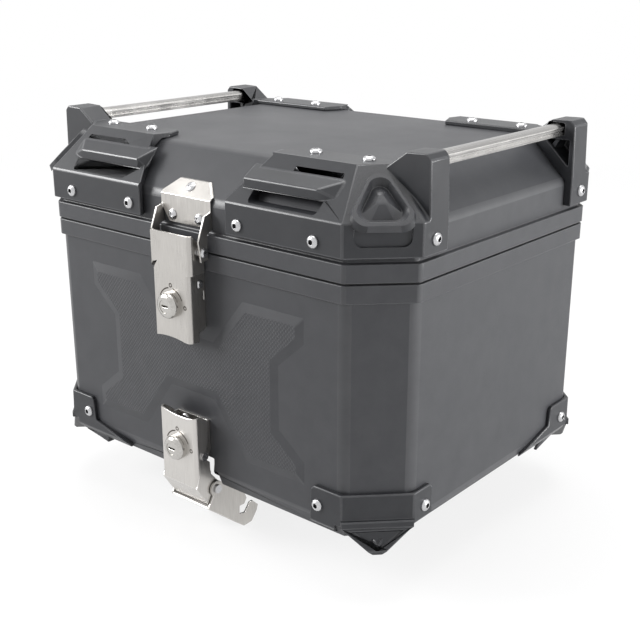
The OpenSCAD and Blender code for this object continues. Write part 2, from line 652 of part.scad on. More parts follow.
module guard() {
  open_z = guard_kink + 2;
  root_z = guard_kink + 28;
  lip_top = guard_kink + 20;
  lip_bot = guard_kink + 12;
  bar_x = grip_x - grip_w/2 - 8;
  boss_z = guard_kink + 13.5;
  lip_y = guard_slope_y(lip_top) - grip_out;
  top_x = guard_side - 24;
  pocket_z = rail_z - rail_h/2 - tower_wall + 1;
  plan = [[guard_in_x, guard_face - 20], [guard_in_x, guard_slope_y(guard_kink + 3)],
    [plate_in_x, guard_slope_y(guard_top - 2)], [plate_in_x - 4, -guard_plate_y - 6],
    [plate_in_x + 4, -plate_in_y], [guard_side - 44, -plate_in_y], [guard_side - 40, -guard_in_y],
    [guard_side + 20, -guard_in_y], [guard_side + 20, guard_face - 20]];
  difference() {
    union() {
      difference() {
        intersection() {
          gabled(guard_in, guard_top_in, guard_z0, guard_kink, guard_top);
          translate([0, 0, guard_z0 - 1]) linear_extrude(guard_top - guard_z0 + 2) polygon(plan);
        }
        // shallow scoop in the corner face below the boss
        corner_frame(hq - guard_in) translate([0, 2, 0]) rotate([90, 0, 0]) linear_extrude(10)
          translate([-15, guard_kink - 11]) offset(r = 7) square([30, 16]);
      }
      // grip
      hull() {
        along_x([[guard_slope_y(root_z) + 3, root_z], [guard_slope_y(lip_bot) + 4, lip_bot],
          [guard_slope_y(lip_bot) + 8, lip_bot + 2]], bar_x - 6, bar_x + grip_w + 21);
        along_x([[lip_y, lip_top], [lip_y, lip_bot], [lip_y + 2, lip_bot]], bar_x, bar_x + grip_w);
      }
      // corner boss
      guard_boss_frame(boss_z) translate([0, 0, -1.5]) linear_extrude(boss_t + 1.5, scale = 0.9)
        boss_outline(boss_w);
      // rail tower
      along_y([[guard_side - 42, guard_top - 1], [top_x, tower_top - 0.5], [guard_side - 6, tower_top],
        [guard_side - 1.5, tower_top - 5], [guard_side, guard_kink], [guard_side - 12, guard_kink - 6],
        [guard_side - 40, guard_top - 8]], -tower_end_y, -guard_in_y);
    }
    gabled(lid_inset - guard_gap, lid_top_in - guard_gap, band_top - 1, kink_z + guard_gap*0.4,
      top_z + guard_gap);
    // finger opening behind the lip
    intersection() {
      along_x([[lip_y - 20, open_z], [lip_y - 20, lip_bot - 0.01], [lip_y + grip_lip, lip_bot - 0.01],
        [lip_y + grip_lip, lip_top - grip_lip], [guard_slope_y(root_z - 9), root_z - 9],
        [guard_slope_y(root_z - 9) + 20, root_z - 9], [guard_slope_y(open_z) + 20, open_z]], 0, hx);
      translate([grip_x, 0, (open_z + root_z)/2]) rotate([90, 0, 0]) linear_extrude(hy + 40)
        offset(r = 4) square([grip_open_w - 8, root_z - open_z - 8], center = true);
    }
    // slot along the root of the grip
    translate([grip_x - 8, guard_slope_y(root_z) - 1.4, root_z - 6.5]) cube([49, 3, 20]);
    // dished face and pocket of the corner boss
    guard_boss_frame(boss_z) difference() {
      translate([0, 0, -2]) linear_extrude(boss_t + 2.5, scale = 1.3) boss_outline(boss_w*0.6);
      translate([0, 0, -2.1]) linear_extrude(5, scale = 0.3) boss_outline(boss_w*0.58);
    }
    // open inner side of the tower, with a rib across it
    difference() {
      along_y([[guard_side - 6, guard_kink + 8.5], [guard_side - 6, pocket_z],
        [guard_side - 6 - (pocket_z - guard_kink - 8.5)*slope, pocket_z]], -tower_end_y + tower_wall, 0);
      along_y([[guard_side - 21, pocket_z + 1], [guard_side - 18, pocket_z + 1], [guard_side - 24,
        guard_kink + 14],
        [guard_side - 27, guard_kink + 14]], -tower_end_y, -guard_in_y - 3);
    }
    rail_bar(rail_fit, -guard_in_y - rail_seat - 0.3, 0);
    for (x = guard_front_x) on_front(x, guard_face, guard_front_z) bolt_hole(guard_t + 1);
    for (x = guard_plate_x) translate([x, -guard_plate_y, guard_top]) bolt_hole(guard_top_t + 1);
    on_side(guard_side, -guard_side_y, guard_front_z + 2.5) bolt_hole(guard_t + 1);
  }
}
module guard_front_left() color(guard_black) corner(-1, -1) guard();
module guard_front_right() color(guard_black) corner(1, -1) guard();
module guard_rear_left() color(guard_black) corner(-1, 1) guard();
module guard_rear_right() color(guard_black) corner(1, 1) guard();
module guard_screws() color(bright) {
  at_guard_front() button_screw(guard_t + lid_wall + nut_h + 1);
  at_guard_side() button_screw(guard_t + lid_wall + nut_h + 1);
  at_guard_top() button_screw(guard_top_t + lid_wall + nut_h + 1);
}
module guard_nuts() color(bright) {
  at_guard_front() translate([0, 0, -guard_t - lid_wall - nut_h]) hex_nut();
  at_guard_side() translate([0, 0, -guard_t - lid_wall - nut_h]) hex_nut();
  at_guard_top() translate([0, 0, -guard_top_t - lid_wall - nut_h]) hex_nut();
}
module rail_right() color(alu) rail_bar(0, -guard_in_y - rail_seat, guard_in_y + rail_seat);
module rail_left() color(alu) mirror([1, 0, 0]) rail_right();

// latch

module latch_hasp() color(steel) {
  z0 = split_z + 19.5;
  z1 = kink_z + 13;
  bend = sheet*tan((90 - tilt)/2);
  front = [[20.5, z0], [ear_x, kink_z - 9], [ear_x, kink_z + 3], [18, z1], [-18, z1], [-ear_x, kink_z + 3],
    [-ear_x, kink_z - 9], [-20.5, z0]];
  difference() {
    union() {
      intersection() {
        along_x([[lid_face, z0], [lid_face, kink_z], [lid_face + 20*slope, kink_z + 20],
          [lid_face + 20*slope - sheet*sin(tilt), kink_z + 20 + sheet*cos(tilt)],
          [lid_face - sheet, kink_z + bend], [lid_face - sheet, z0]], -ear_x, ear_x);
        along_y(front, lid_face - 20, lid_face + 30);
      }
      both_x() along_x([[lid_face, kink_z - 8], [lid_face - 8.5, kink_z - 10.5], [band_front - 11.5,
        split_z + 12],
        [band_front - 9, split_z - 6.5], [band_front - 1, split_z - 5.5], [band_front - 1, band_top + 1],
        [lid_face, band_top + 3]], ear_x - sheet, ear_x);
    }
    at_hasp_rivets() translate([0, 0, -4]) cylinder(d = rivet_hole, h = 6);
    translate([-ear_x - 1, piv_y, piv_z]) rotate([0, 90, 0]) cylinder(d = rivet_d + 0.04, h = 2*ear_x + 2);
  }
}
module hasp_rivets() color(bright) at_hasp_rivets() rivet(sheet + lid_wall, rivet_d + 3);
// shouldered rivets between the ears and the cover
module latch_pivots() color(bright) both_x() translate([0, piv_y, piv_z]) rotate([0, 90, 0]) {
  translate([0, 0, ear_x]) rotate_extrude() polygon([[0, 0], [rivet_head_d/2 - 0.5, 0],
    [rivet_head_d/2 - 0.5, rivet_head_h*0.4], [rivet_head_d*0.28, rivet_head_h], [0, rivet_head_h]]);
  translate([0, 0, cover_w/2 - sheet - 1]) cylinder(d = rivet_d, h = ear_x - cover_w/2 + sheet + 1.01);
  translate([0, 0, cover_w/2 + 0.3]) cylinder(d = rivet_d + 2.4, h = ear_x - sheet - cover_w/2 - 0.3);
}
// channel section with rounded folds, front face on y = 0
module channel(w, depth) {
  translate([-w/2 + cover_r, 0]) square([w - 2*cover_r, sheet]);
  both_x() {
    translate([w/2 - sheet, cover_r]) square([sheet, depth - cover_r]);
    translate([w/2 - cover_r, cover_r]) intersection() {
      difference() { circle(cover_r); circle(cover_r - sheet); }
      translate([0, -cover_r]) square(cover_r);
    }
  }
}
module latch_cover() color(steel) difference() {
  union() {
    translate([0, cover_y, step_z]) linear_extrude(cover_z1 - step_z) channel(cover_w, cover_out - 1);
    translate([0, cover_y, cover_z0]) linear_extrude(step_z - cover_z0 + 4) channel(cover_low_w,
      cover_out - 7);
    translate([0, cover_y, step_z]) linear_extrude(sheet) difference() {
      channel(cover_w, cover_out - 7);
      translate([-cover_low_w/2 + 2, sheet]) square([cover_low_w - 4, cover_out]);
    }
  }
  // cut back behind the pivot so that the cover can swing
  along_x([[cover_y + 2.4, cover_z1 + 1], [piv_y + 1.8, piv_z + 5], [piv_y + 4.2, piv_z],
    [band_front - 1, step_z - 1],
    [band_front + 5, step_z - 1], [band_front + 5, cover_z1 + 1]], -cover_w, cover_w);
  // hooked notch on the left fold
  along_y([[-cover_w/2 - 1, step_z - 5], [-cover_w/2 + 2, step_z - 5], [-cover_w/2 + 6, step_z + 3],
    [-cover_w/2 + 9.5, step_z + 8], [-cover_w/2 + 4, step_z + 6], [-cover_w/2 - 1, step_z]],
      cover_y - 1, cover_y + 30);
  // finger scallop in the lower edge
  translate([-4, cover_y - 1, cover_z0 - 88]) rotate([-90, 0, 0]) cylinder(r = 90, h = 40, $fn = 180);
  translate([0, cover_y - 1, lock_z]) rotate([-90, 0, 0]) cylinder(d = lock_body_d + 0.2, h = 10);
  translate([-cover_w, piv_y, piv_z]) rotate([0, 90, 0]) cylinder(d = rivet_d + 2*run_fit, h = 2*cover_w);
}
// bracket on the tub behind the latch cover
module latch_base() color(steel) {
  z0 = cover_z0 + 8;
  z1 = rim_bot - 1.5;
  difference() {
    union() {
      translate([-base_hw, tub_face - sheet, z0 + 2]) cube([2*base_hw, sheet, z1 - z0 - 2]);
      both_x() along_x([[tub_face, z0 + 2], [cover_y + 7, z0 - 4], [cover_y + 7, step_z - 10],
        [band_front - 6.5, z1], [tub_face, z1], [tub_face, lock_z + 14], [tub_face - 2.6, lock_z + 11],
        [tub_face - 2.6, lock_z + 5], [tub_face, lock_z + 1]], base_hw - sheet, base_hw);
      translate([-base_hw + sheet/2, keeper_y, lock_z + cam_len - keeper_h]) cube([2*base_hw - sheet,
        sheet, keeper_h]);
    }
    at_latch_rivets() translate([0, 0, -3]) cylinder(d = rivet_hole, h = 5);
    translate([-base_hw - 1, band_front - 3, step_z - 10]) rotate([0, 90,
      0]) cylinder(d = rivet_d + 0.04, h = 2*base_hw + 2);
  }
}
module latch_base_rivets() color(bright) at_latch_rivets() rivet(sheet + tub_wall, rivet_d + 3);
module latch_base_pin() color(bright) translate([0, band_front - 3, step_z - 10]) {
  rotate([0, 90, 0]) cylinder(d = rivet_d, h = 2*base_hw, center = true);
  both_x() translate([base_hw, 0, 0]) rotate([0, 90, 0]) rotate_extrude()
    polygon([[0, -0.01], [rivet_head_d/2 - 1, -0.01], [rivet_head_d/2 - 1, 0.9], [rivet_head_d*0.25,
      rivet_head_h], [0, rivet_head_h]]);
}

// lock parts, axis along -Z towards the inside, cover face on z = 0
module lock_barrel() difference() {
  union() {
    rotate_extrude() polygon([[0, 0], [lock_ring_d/2, 0], [lock_ring_d/2, lock_out*0.55],
      [lock_ring_d/2 - 1.2, lock_out*0.82], [lock_ring_d/2 - 3, lock_out*0.96], [lock_ring_d/2 - 4,
        lock_out], [0, lock_out]]);
    translate([0, 0, -10]) cylinder(d = lock_body_d, h = 10.01);
  }
  translate([0, 0, -11]) cylinder(d = plug_d + 2*run_fit, h = lock_out + 12);
}
module lock_nut() translate([0, 0, -sheet - 4]) difference() {
  cylinder(d = (lock_body_d + 5)/cos(30), h = 4, $fn = 6);
  translate([0, 0, -1]) cylinder(d = lock_body_d + 0.1, h = 6);
}
module lock_plug() difference() {
  union() {
    translate([0, 0, -11]) cylinder(d = plug_d, h = lock_out + 10.6);
    translate([0, 0, -13.5]) cylinder(d = plug_d*0.6, h = 3);
  }
  translate([-4, -0.9, lock_out - 5]) cube([8, 1.8, 6]);
  translate([0, 0, -14]) cylinder(d = 4, h = 6);
}
// cam points to +X at rest and turns up behind the keeper
module lock_cam() translate([0, 0, -13.5 - cam_t]) rotate([0, 0, -90]) difference() {
  union() {
    cylinder(r = plug_d/2, h = cam_t);
    translate([-4.5, 0, 0]) cube([9, cam_len - 4.5, cam_t]);
    translate([0, cam_len - 4.5, 0]) cylinder(r = 4.5, h = cam_t);
  }
  translate([0, 0, -1]) cylinder(d = 4.2, h = cam_t + 2);
}
module lock_cam_screw() {
  translate([0, 0, -13.5 - cam_t - 1.8]) cylinder(d = 7.5, h = 1.8);
  translate([0, 0, -13.5 - cam_t - 0.01]) cylinder(d = 3.9, h = cam_t + 5);
}
module at_latch_lock() translate([0, cover_y, lock_z]) rotate([90, 0, 0]) children();
module at_release_lock() translate([0, cover_y, rel_lock_z]) rotate([90, 0, 0]) children();

module latch_lock_barrel() color(bright) at_latch_lock() lock_barrel();
module latch_lock_nut() color(steel) at_latch_lock() lock_nut();
module latch_lock_plug() color(bright) at_latch_lock() lock_plug();
module latch_lock_cam() color(steel) at_latch_lock() lock_cam();
module latch_cam_screw() color(steel) at_latch_lock() lock_cam_screw();
module release_lock_barrel() color(bright) at_release_lock() lock_barrel();
module release_lock_nut() color(steel) at_release_lock() lock_nut();
module release_lock_plug() color(bright) at_release_lock() lock_plug();
module release_lock_cam() color(steel) at_release_lock() lock_cam();
module release_cam_screw() color(steel) at_release_lock() lock_cam_screw();

// release latch

module release_cover() color(steel) {
  w = cover_low_w/2;
  low_y = hook_y - 8;
  low_z = hook_z - 15.5;
  drop = [low_y - cover_y, low_z - rel_bend];
  out = [cover_y, rel_bend];
  in = sheet*unit([-drop[1], drop[0]]);
  difference() {
    union() {
      difference() {
        translate([0, cover_y, rel_bend]) linear_extrude(rel_top - rel_bend) channel(cover_low_w,
          cover_out + 1);
        along_x([[cover_y + cover_r, rel_top + 1], [tub_face - 5, rel_top - 8], [tub_face - 5,
          rel_lock_z + 4],
          [tub_face - 7.4, rel_lock_z + 1], [tub_face - 7.4, rel_pivot_z - 5], [tub_face - 4,
            rel_pivot_z - 8],
          [tub_face - 3, rel_bend - 1], [tub_face + 9, rel_bend - 1], [tub_face + 9, rel_top + 1]],
            -w - 1, w + 1);
        translate([5, cover_y - 1, rel_top + 87]) rotate([-90, 0, 0]) cylinder(r = 90, h = 40, $fn = 180);
      }
      // bent lower web
      along_x([out, out + drop, out + drop + in, out + in + [0, 0.5]], -w, w);
      // arms to the hook pivot
      both_x() difference() {
        along_x([[cover_y + 1, rel_bend + 2], out, out + drop, [hook_y, low_z + 1.5], [hook_y + 7,
          hook_z - 6],
          [hook_y + 7.5, hook_z + 2], [tub_face - 3, rel_bend + 9], [tub_face - 3, rel_bend + 12],
            [cover_y + cover_r, rel_bend + 12]], w - sheet, w);
      }
    }
    translate([0, cover_y - 1, rel_lock_z]) rotate([-90, 0, 0]) cylinder(d = lock_body_d + 0.2, h = 10);
    translate([-w - 1, rel_y, rel_pivot_z]) rotate([0, 90, 0]) cylinder(d = rivet_d + 2*run_fit,
      h = 2*w + 2);
    translate([-w - 1, hook_y, hook_z]) rotate([0, 90, 0]) cylinder(d = rivet_d + 0.04, h = 2*w + 2);
  }
}
module release_base() color(steel) {
  z1 = rel_lock_z + 24;
  z0 = rel_pivot_z - 6;
  difference() {
    union() {
      translate([-base_hw, tub_face - sheet, rel_pivot_z + 2]) cube([2*base_hw, sheet,
        z1 - rel_pivot_z - 2]);
      both_x() along_x([[tub_face - 1, rel_pivot_z + 2], [tub_face - 4, z0], [rel_y - 5, z0],
        [rel_y - 7, rel_pivot_z],
        [rel_y - 6, z1 - 5], [rel_y - 1, z1], [tub_face - 1, z1]], base_hw - sheet, base_hw);
      translate([-base_hw + sheet/2, keeper_y,
        rel_lock_z + cam_len + 1 - keeper_h]) cube([2*base_hw - sheet, sheet, keeper_h]);
    }
    at_release_rivets() translate([0, 0, -3]) cylinder(d = rivet_hole, h = 5);
    translate([-base_hw - 1, rel_y, rel_pivot_z]) rotate([0, 90, 0]) cylinder(d = rivet_d + 0.04,
      h = 2*base_hw + 2);
  }
}
module release_base_rivets() color(bright) at_release_rivets() rivet(sheet + tub_wall, rivet_d + 3);
module release_pivots() color(bright) both_x() translate([0, rel_y, rel_pivot_z]) rotate([0, 90, 0]) {
  translate([0, 0, base_hw - sheet - 0.8]) cylinder(d = rivet_d,
    h = cover_low_w/2 + 0.3 - base_hw + sheet + 0.8);
  translate([0, 0, cover_low_w/2 + 0.25]) cylinder(d = rivet_d + 2.5, h = 1.4);
}
module hook_pivots() color(bright) both_x() translate([0, hook_y, hook_z]) rotate([0, 90, 0]) {
  translate([0, 0, cover_low_w/2 - sheet - 0.8]) cylinder(d = rivet_d,
    h = hook_hw - cover_low_w/2 + sheet + 1.1);
  translate([0, 0, hook_hw + 0.25]) cylinder(d = rivet_d + 3, h = 1.6);
}
// hook with side plates outside the release cover, drawn straight and then swung down
module hook_side() {
  l = hook_len;
  difference() {
    union() {
      circle(7.5);
      polygon([[-1, 7.4], [9, 5.6], [17, 6.6], [l*0.58, 4], [l*0.68, -1], [l*0.68, -7], [l*0.60, -10],
        [l*0.66, -17],
        [l*0.76, -14.5], [l*0.78, -4], [l*0.83, -2], [l*0.98, -4], [l, -10], [l*0.98, -21], [l*0.85, -27],
        [l*0.62, -25.5], [20, -22.5], [0, -20.4], [-1, -18]]);
    }
  }
}
module release_hook() color(steel) translate([0, hook_y, hook_z]) rotate([-hook_angle, 0, 0]) difference() {
  union() {
    both_x() translate([hook_hw - sheet, 0, 0]) rotate([90, 0, 90]) linear_extrude(sheet) hook_side();
    along_x([[0, -20.4], [20, -22.5], [hook_len*0.62, -25.5], [hook_len*0.62, -25.5 + sheet], [20,
      -22.5 + sheet], [0, -20.4 + sheet]],
      -hook_hw, hook_hw);
  }
  translate([-hook_hw - 1, 0, 0]) rotate([0, 90, 0]) cylinder(d = rivet_d + 2*run_fit, h = 2*hook_hw + 2);
}

tub_shell();
docking_plate();
docking_screws();
docking_nuts();
bumper_front_left();
bumper_front_right();
bumper_rear_left();
bumper_rear_right();
bumper_screws();
bumper_nuts();
latch_base();
latch_base_rivets();
latch_base_pin();
release_base();
release_base_rivets();
release_pivots();
hinge_tub_leaves();
hinge_tub_rivets();
hinge_pins();
lid_shell();
lid_seal();
guard_front_left();
guard_front_right();
guard_rear_left();
guard_rear_right();
guard_screws();
guard_nuts();
rail_left();
rail_right();
latch_hasp();
hasp_rivets();
latch_pivots();
hinge_lid_leaves();
hinge_lid_rivets();
latch_cover();
latch_lock_barrel();
latch_lock_nut();
latch_lock_plug();
latch_lock_cam();
latch_cam_screw();
release_cover();
release_lock_barrel();
release_lock_nut();
release_lock_plug();
release_lock_cam();
release_cam_screw();
hook_pivots();
release_hook();
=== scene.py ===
# %% [markdown]
# # A hard motorcycle top case
# The measured solids come in first. They carry every size and every joint, so the pieces made here
# are placed by the same numbers and ride on the same bodies.

# %% Load the measured solids
import json
import math

import bpy
from mathutils import Matrix, Vector


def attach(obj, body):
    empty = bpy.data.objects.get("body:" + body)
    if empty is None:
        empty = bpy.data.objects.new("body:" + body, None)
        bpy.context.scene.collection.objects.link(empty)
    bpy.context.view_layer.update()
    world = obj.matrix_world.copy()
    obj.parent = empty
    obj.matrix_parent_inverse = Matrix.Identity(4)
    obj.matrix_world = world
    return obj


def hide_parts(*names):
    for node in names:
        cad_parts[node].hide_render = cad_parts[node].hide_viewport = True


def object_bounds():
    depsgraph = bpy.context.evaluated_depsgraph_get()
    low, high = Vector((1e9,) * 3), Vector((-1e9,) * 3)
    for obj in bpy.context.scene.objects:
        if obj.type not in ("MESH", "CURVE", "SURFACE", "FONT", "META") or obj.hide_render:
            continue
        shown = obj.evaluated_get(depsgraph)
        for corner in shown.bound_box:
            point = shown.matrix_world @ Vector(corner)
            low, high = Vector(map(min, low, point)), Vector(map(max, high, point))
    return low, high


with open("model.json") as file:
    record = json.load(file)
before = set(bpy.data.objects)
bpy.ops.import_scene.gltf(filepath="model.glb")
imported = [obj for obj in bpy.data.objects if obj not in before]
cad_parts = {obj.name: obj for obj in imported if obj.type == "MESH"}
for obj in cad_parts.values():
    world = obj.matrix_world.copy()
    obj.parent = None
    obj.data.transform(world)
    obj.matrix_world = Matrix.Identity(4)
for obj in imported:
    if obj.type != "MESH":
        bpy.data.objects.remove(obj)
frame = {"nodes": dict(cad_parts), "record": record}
cad_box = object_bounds()
mm = 0.001
body_of_node = {n: b for b, ns in frame["record"]["behaviour"]["bodies"].items() for n in ns}
print("solids:", len(frame["nodes"]), "box:", [round(v, 4) for c in cad_box for v in c])

# %% [markdown]
# ## Helpers for picking and shaping
# An operator works on whatever is selected, and the loaded solids arrive selected. So every step starts by
# selecting one piece only. Faces and edges are then picked by their place or direction, as a modeller would
# click on them.

# %% Pick, edit and finish one piece
def pick(piece):
    bpy.ops.object.select_all(action="DESELECT")
    piece.select_set(True)
    bpy.context.view_layer.objects.active = piece


def settle(piece):
    """Puts the piece's place into its mesh, so that the object itself sits at the origin."""
    pick(piece)
    bpy.ops.object.transform_apply(location=True, rotation=True, scale=True)
    return piece


def apply_all(piece):
    pick(piece)
    for m in list(piece.modifiers):
        bpy.ops.object.modifier_apply(modifier=m.name)
    return piece


def smooth(piece, degrees=35):
    pick(piece)
    bpy.ops.object.shade_smooth_by_angle(angle=math.radians(degrees))
    return piece


def seat(piece, node, *more):
    """The piece stands for these solids and moves with them."""
    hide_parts(node, *more)
    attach(piece, body_of_node[node])
    return piece


def dress(piece, *finishes):
    piece.data.materials.clear()
    for f in finishes:
        piece.data.materials.append(f)
    return piece


print("helpers: pick, settle, apply_all, smooth, seat, dress")

# %% [markdown]
# ## Rounded edges on moulded and folded pieces
# A solid from the measuring step has knife edges. Real mouldings have a radius on each edge, and that thin
# rounded strip is what catches the light. A copy of the solid is welded, its flat faces are joined, and then
# only the edges that a rule names are bevelled. The new strips get their own finish, a little smoother than
# the grain around them, as handling leaves it, and tinted lighter as a painted highlight.

# %% Weld a copy of a solid
def welded_copy(node, name):
    source = frame["nodes"][node]
    piece = source.copy()
    piece.data = source.data.copy()
    piece.name = name
    for key in [k for k in piece.keys() if k.startswith("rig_")]:
        del piece[key]
    piece.parent = None
    bpy.context.scene.collection.objects.link(piece)
    pick(piece)
    bpy.ops.mesh.customdata_custom_splitnormals_clear()
    bpy.ops.object.mode_set(mode="EDIT")
    bpy.ops.mesh.select_all(action="SELECT")
    bpy.ops.mesh.remove_doubles(threshold=0.02 * mm)
    bpy.ops.mesh.dissolve_limited(angle_limit=math.radians(0.3))
    bpy.ops.object.mode_set(mode="OBJECT")
    return piece


print("welded_copy is ready for", len(frame["nodes"]), "solids")


# %% Round the edges that a rule names
def edge_facts(mesh):
    """For each edge its two face normals, ends and length."""
    sides = {}
    for p in mesh.polygons:
        for k in p.edge_keys:
            sides.setdefault(k, []).append(p.normal)
    for e in mesh.edges:
        n = sides.get(tuple(sorted(e.vertices)), [])
        if len(n) == 2:
            a, b = (mesh.vertices[i].co for i in e.vertices)
            yield e.index, n[0].angle(n[1], 0.0), a, b, (b - a).length


def round_edges(piece, share, width, segments=3, strip=1, crease=40):
    """share(angle, a, b, length) gives each edge's part of the width, 0 for none."""
    mesh = piece.data
    weight = mesh.attributes.new("bevel_weight_edge", "FLOAT", "EDGE")
    count = 0
    for i, angle, a, b, length in list(edge_facts(mesh)):
        w = share(math.degrees(angle), a, b, length)
        if w > 0:
            weight.data[i].value = w
            count += 1
    m = piece.modifiers.new("rounding", "BEVEL")
    m.limit_method = "WEIGHT"
    m.width = width
    m.segments = segments
    m.use_clamp_overlap = False
    m.miter_outer = "MITER_ARC" if segments > 1 else "MITER_SHARP"
    # The bevelled strips take the piece's second finish; on shells, guards and sheet it is tinted lighter, a
    # painted highlight.
    m.material = strip
    w = piece.modifiers.new("even_light", "WEIGHTED_NORMAL")
    w.keep_sharp = True
    smooth(piece, crease)
    apply_all(piece)
    print(piece.name, "edges rounded:", count, "faces:", len(piece.data.polygons))
    return piece


# %% [markdown]
# ## Finishes
# The case has three families of surface: grained black plastic, brushed stainless sheet and small plated
# parts. A picture of each could be wrapped round the pieces, but it would stretch over the folds. Here every
# finish is built from nodes that read object coordinates in metres, so a grain of one millimetre stays one
# millimetre on every piece.

# %% Start a finish
def new_finish(name, colour, rough, metal=0.0):
    mat = bpy.data.materials.new(name)
    mat.use_nodes = True
    shader = mat.node_tree.nodes["Principled BSDF"]
    shader.inputs["Base Color"].default_value = (*colour, 1)
    shader.inputs["Roughness"].default_value = rough
    shader.inputs["Metallic"].default_value = metal
    return mat, mat.node_tree.nodes, mat.node_tree.links, shader


def coords(nodes, links, scale=(1, 1, 1), turn=(0, 0, 0), shift=(0, 0, 0)):
    place = nodes.new("ShaderNodeTexCoord")
    mapping = nodes.new("ShaderNodeMapping")
    mapping.inputs["Scale"].default_value = scale
    mapping.inputs["Rotation"].default_value = turn
    mapping.inputs["Location"].default_value = shift
    links.new(place.outputs["Object"], mapping.inputs["Vector"])
    return mapping.outputs["Vector"]


print("finishes start from", len(bpy.data.materials), "materials")

# %% [markdown]
# ## Patterns, tints and relief
# Noise gives an uneven value between about 0.3 and 0.7. One node spreads it over the range that is wanted,
# one mixes two tints by it, and one turns it into relief. Small named helpers keep the finishes readable.

# %% Small node helpers
def noise(nodes, links, vector, scale, detail=2.0, rough=0.5):
    n = nodes.new("ShaderNodeTexNoise")
    n.inputs["Scale"].default_value = scale
    n.inputs["Detail"].default_value = detail
    n.inputs["Roughness"].default_value = rough
    links.new(vector, n.inputs["Vector"])
    return n.outputs["Fac"]


def spread(nodes, links, fac, low, high, lo=0.3, hi=0.7):
    r = nodes.new("ShaderNodeMapRange")
    r.inputs["From Min"].default_value = lo
    r.inputs["From Max"].default_value = hi
    r.inputs["To Min"].default_value = low
    r.inputs["To Max"].default_value = high
    links.new(fac, r.inputs["Value"])
    return r.outputs["Result"]


def tint(nodes, links, fac, dark, light):
    m = nodes.new("ShaderNodeMix")
    m.data_type = "RGBA"
    m.inputs["A"].default_value = (*dark, 1)
    m.inputs["B"].default_value = (*light, 1)
    links.new(fac, m.inputs["Factor"])
    return m.outputs["Result"]


def relief(nodes, links, shader, height, strength, depth):
    b = nodes.new("ShaderNodeBump")
    b.inputs["Strength"].default_value = strength
    b.inputs["Distance"].default_value = depth
    links.new(height, b.inputs["Height"])
    links.new(b.outputs["Normal"], shader.inputs["Normal"])


def maths(nodes, links, kind, a, b=None, clamp=False):
    m = nodes.new("ShaderNodeMath")
    m.operation = kind
    m.use_clamp = clamp
    for i, v in enumerate((a, b)):
        if v is None:
            continue
        if isinstance(v, (int, float)):
            m.inputs[i].default_value = v
        else:
            links.new(v, m.inputs[i])
    return m.outputs["Value"]


print("node helpers: noise, spread, tint, relief, maths")

# %% [markdown]
# ## Grained black plastic
# Shells, guards and bumpers are injection moulded. The mould is etched, which leaves a fine even grain, and
# its colour is a very dark grey with a cold tint rather than black. The grain is relief from fine noise. A
# broad, slow noise varies the gloss, as handling does. The pad on the lock face has a fine crossed hatch,
# made from two sets of bands that lean opposite ways.

# %% Moulded plastic, with an optional hatch for the pad
def moulded(name, dark, light, rough, grain, hatch=False):
    mat, nodes, links, shader = new_finish(name, dark, rough)
    at = coords(nodes, links)
    broad = noise(nodes, links, at, 9.0, 4.0)
    fine = noise(nodes, links, at, 1500.0, 2.0, 0.6)
    cloud = noise(nodes, links, at, 55.0, 5.0, 0.65)
    colour = tint(nodes, links, spread(nodes, links, cloud, 0.0, 1.0), dark, light)
    links.new(colour, shader.inputs["Base Color"])
    worn = maths(nodes, links, "ADD", spread(nodes, links, broad, -0.05, 0.05),
                 spread(nodes, links, fine, -0.04, 0.04))
    links.new(maths(nodes, links, "ADD", worn, rough), shader.inputs["Roughness"])
    height = fine
    if hatch:
        lines = []
        for turn in (0.72, -0.72):
            w = nodes.new("ShaderNodeTexWave")
            w.wave_type = "BANDS"
            w.bands_direction = "X"
            w.inputs["Scale"].default_value = 115.0
            links.new(coords(nodes, links, turn=(0, turn, 0)), w.inputs["Vector"])
            lines.append(w.outputs["Fac"])
        both = maths(nodes, links, "MAXIMUM", lines[0], lines[1])
        height = maths(nodes, links, "ADD", maths(nodes, links, "MULTIPLY", both, 2.2), fine)
    relief(nodes, links, shader, height, grain, 0.22 * mm)
    shader.inputs["Specular IOR Level"].default_value = 0.36
    return mat


case_grain = moulded("case_grain", (0.034, 0.035, 0.039), (0.042, 0.043, 0.047), 0.46, 0.35)
# Edge strips of tub and lid: the shell plastic a little smoother and tinted lighter, a painted highlight.
case_edge_highlight = moulded("case_edge_highlight", (0.048, 0.049, 0.053), (0.058, 0.059, 0.063), 0.36, 0.15)
pad_hatch = moulded("pad_hatch", (0.036, 0.037, 0.041), (0.044, 0.045, 0.049), 0.42, 0.6, hatch=True)
guard_grain = moulded("guard_grain", (0.018, 0.019, 0.022), (0.024, 0.025, 0.028), 0.40, 0.22)
# Guard edge strips and boss faces: tinted lighter than the guard plastic, painted highlights; the boss is
# glossier as well.
guard_edge_highlight = moulded("guard_edge_highlight", (0.046, 0.047, 0.051), (0.058, 0.059, 0.063), 0.29, 0.08)
guard_gloss_and_highlight = moulded("guard_gloss_and_highlight", (0.038, 0.039, 0.043), (0.047, 0.048, 0.052), 0.31, 0.05)
dock_grain = moulded("dock_grain", (0.022, 0.022, 0.023), (0.030, 0.030, 0.031), 0.55, 0.4)
seal_rubber = moulded("seal_rubber", (0.010, 0.010, 0.010), (0.015, 0.015, 0.015), 0.7, 0.3)
print("plastic finishes:", len(bpy.data.materials))

# %% [markdown]
# ## Dial marks round a lock
# Two arcs and two small rings are etched round each lock, for the key's two places. They could be cut into
# the mesh, but an etching has no depth to speak of. So a mask in the finish darkens them: the distance from
# the lock's middle gives the rings, and the angle round it ends the arcs.

# %% A mask for the etched marks
def length_of(nodes, links, a, b):
    squares = [maths(nodes, links, "MULTIPLY", v, v) for v in (a, b)]
    return maths(nodes, links, "SQRT", maths(nodes, links, "ADD", *squares))


def near(nodes, links, value, middle, half):
    """1 where the value is within half of the middle."""
    out = maths(nodes, links, "COMPARE", value, middle)
    out.node.inputs[2].default_value = half
    return out


